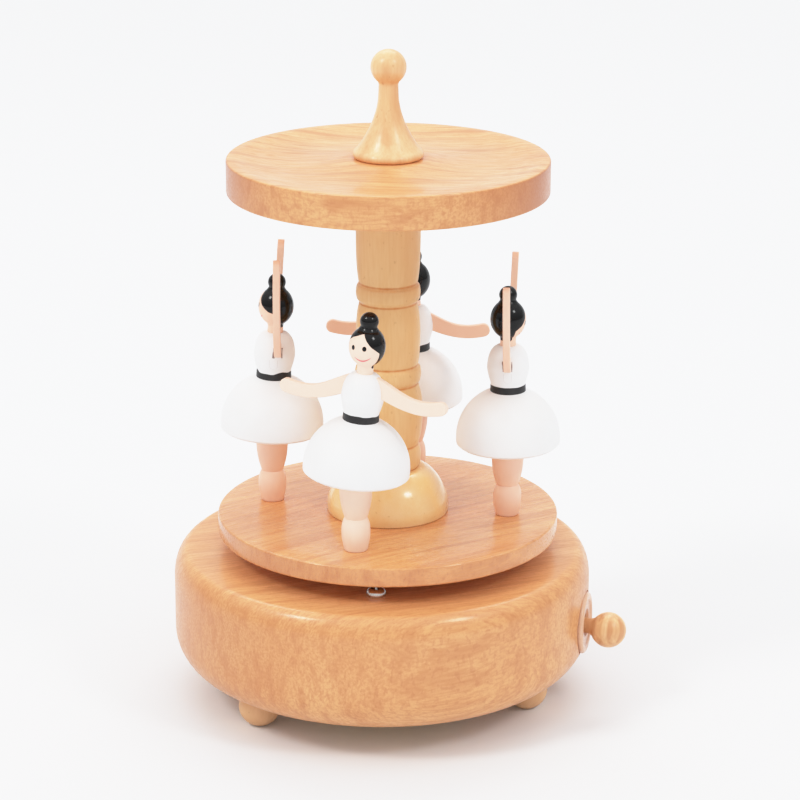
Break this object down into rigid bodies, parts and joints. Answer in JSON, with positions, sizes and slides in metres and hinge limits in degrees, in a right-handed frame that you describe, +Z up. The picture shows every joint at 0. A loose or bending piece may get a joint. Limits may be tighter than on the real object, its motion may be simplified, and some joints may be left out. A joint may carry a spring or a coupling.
{
  "type": "wooden carousel music box",
  "caption": "Round wooden music box on ball feet, whose spindle turns a table of painted dancer dolls round a turned column under a canopy disc; a side knob stops it.",
  "frame": {"origin": "on the table, at the middle of the object's footprint box", "axes": "+Z up along the spindle's direction, +X towards the side knob, +Y by the right-hand rule"},
  "size_m": [0.1338, 0.122, 0.1923],
  "materials": {
    "drum": "turned beech, satin lacquer",
    "turntable": "turned beech, satin lacquer",
    "canopy": "turned beech, satin lacquer",
    "column": "turned pale maple with burnt grooves, satin lacquer",
    "column_foot": "turned honey-coloured wood, glossy lacquer",
    "finial": "turned pale maple, satin lacquer",
    "feet": "turned balls, matt",
    "bottom_cover": "thin plywood",
    "knob_ring": "turned ring, glossy lacquer",
    "stop_knob": "turned ball on a stem, satin",
    "doll_legs": "skin-coloured paint on turned wood",
    "doll_skirt": "white paint on turned wood, satin",
    "doll_torso": "white paint with a black painted belt",
    "doll_head": "skin-coloured paint with glossy black painted hair",
    "doll_arms": "skin-coloured paint on thin plywood",
    "mount_screws": "nickel-plated pan heads",
    "cover_screws": "zinc-plated pan heads",
    "comb_screws": "zinc-plated",
    "bedplate": "die-cast zinc alloy, bare",
    "spring_housing": "die-cast zinc alloy, bare",
    "mainspring": "blued spring strip",
    "great_wheel": "cut brass",
    "spindle": "turned steel",
    "pinned_cylinder": "brass drum with steel pins",
    "comb": "ground spring steel",
    "governor_bracket": "bent brass",
    "governor_fly": "brass worm and vanes",
    "stop_wire": "bright steel wire"
  },
  "bodies": {
    "base": {"drum": "drum", "foot_1": "feet", "foot_2": "feet", "foot_3": "feet", "bottom_cover": "bottom_cover", "cover_screw_1": "cover_screws", "cover_screw_2": "cover_screws", "cover_screw_3": "cover_screws", "cover_screw_4": "cover_screws", "knob_ring": "knob_ring", "bedplate": "bedplate", "mount_screw_1": "mount_screws", "mount_screw_2": "mount_screws", "mount_screw_3": "mount_screws", "spring_housing": "spring_housing", "mainspring": "mainspring", "comb": "comb", "comb_screw_1": "comb_screws", "comb_screw_2": "comb_screws", "governor_bracket": "governor_bracket"},
    "carousel": {"spindle": "spindle", "great_wheel": "great_wheel", "turntable": "turntable", "column_foot": "column_foot", "column": "column", "canopy": "canopy", "finial": "finial", "front_doll_legs": "doll_legs", "front_doll_skirt": "doll_skirt", "front_doll_torso": "doll_torso", "front_doll_head": "doll_head", "front_doll_left_arm": "doll_arms", "front_doll_right_arm": "doll_arms", "right_doll_legs": "doll_legs", "right_doll_skirt": "doll_skirt", "right_doll_torso": "doll_torso", "right_doll_head": "doll_head", "right_doll_left_arm": "doll_arms", "right_doll_right_arm": "doll_arms", "back_doll_legs": "doll_legs", "back_doll_skirt": "doll_skirt", "back_doll_torso": "doll_torso", "back_doll_head": "doll_head", "back_doll_left_arm": "doll_arms", "back_doll_right_arm": "doll_arms", "left_doll_legs": "doll_legs", "left_doll_skirt": "doll_skirt", "left_doll_torso": "doll_torso", "left_doll_head": "doll_head", "left_doll_left_arm": "doll_arms", "left_doll_right_arm": "doll_arms"},
    "cylinder": {"pinned_cylinder": "pinned_cylinder"},
    "fly": {"governor_fly": "governor_fly"},
    "stop": {"stop_knob": "stop_knob", "stop_wire": "stop_wire"}
  },
  "joints": [
    {"name": "turn", "type": "hinge", "parent": "base", "child": "carousel", "pos_m": [-0.0051, 0, 0.0504], "axis": [0, 0, 1], "continuous": true},
    {"name": "cylinder_turn", "type": "hinge", "parent": "base", "child": "cylinder", "pos_m": [-0.00139, -0.02397, 0.02601], "axis": [0.153, -0.9882, 0], "continuous": true},
    {"name": "fly_turn", "type": "hinge", "parent": "base", "child": "fly", "pos_m": [0.00914, -0.03185, 0.0158], "axis": [0, 0, 1], "continuous": true},
    {"name": "stop_pull", "type": "slide", "parent": "base", "child": "stop", "axis": [1, 0, 0], "range_m": [-0.0014, 0.0016]}
  ],
  "couplings": [
    {"joint": "cylinder_turn", "follows": "turn", "ratio": -4.5},
    {"joint": "fly_turn", "follows": "turn", "ratio": 162}
  ]
}
